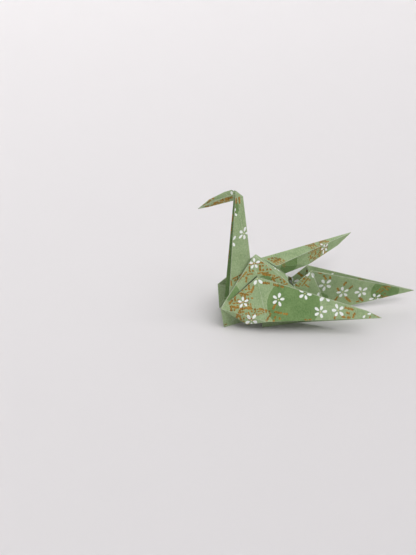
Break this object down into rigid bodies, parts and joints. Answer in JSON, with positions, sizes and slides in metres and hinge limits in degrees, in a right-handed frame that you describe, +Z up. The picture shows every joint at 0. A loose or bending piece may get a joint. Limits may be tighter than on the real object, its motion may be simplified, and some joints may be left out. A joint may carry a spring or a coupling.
{
  "type": "origami crane",
  "caption": "Folded paper crane with a raised neck and head, a pointed hump, swept-back wings and a long tail, in patterned green paper.",
  "frame": {"origin": "on the floor under the middle of the crane's bounding box", "axes": "+X from head to tail, +Y towards the far wing, +Z up"},
  "size_m": [0.1129, 0.073, 0.0707],
  "materials": {
    "paper": "matte uncoated printed paper"
  },
  "bodies": {
    "root": {"crane": "paper"}
  },
  "joints": []
}
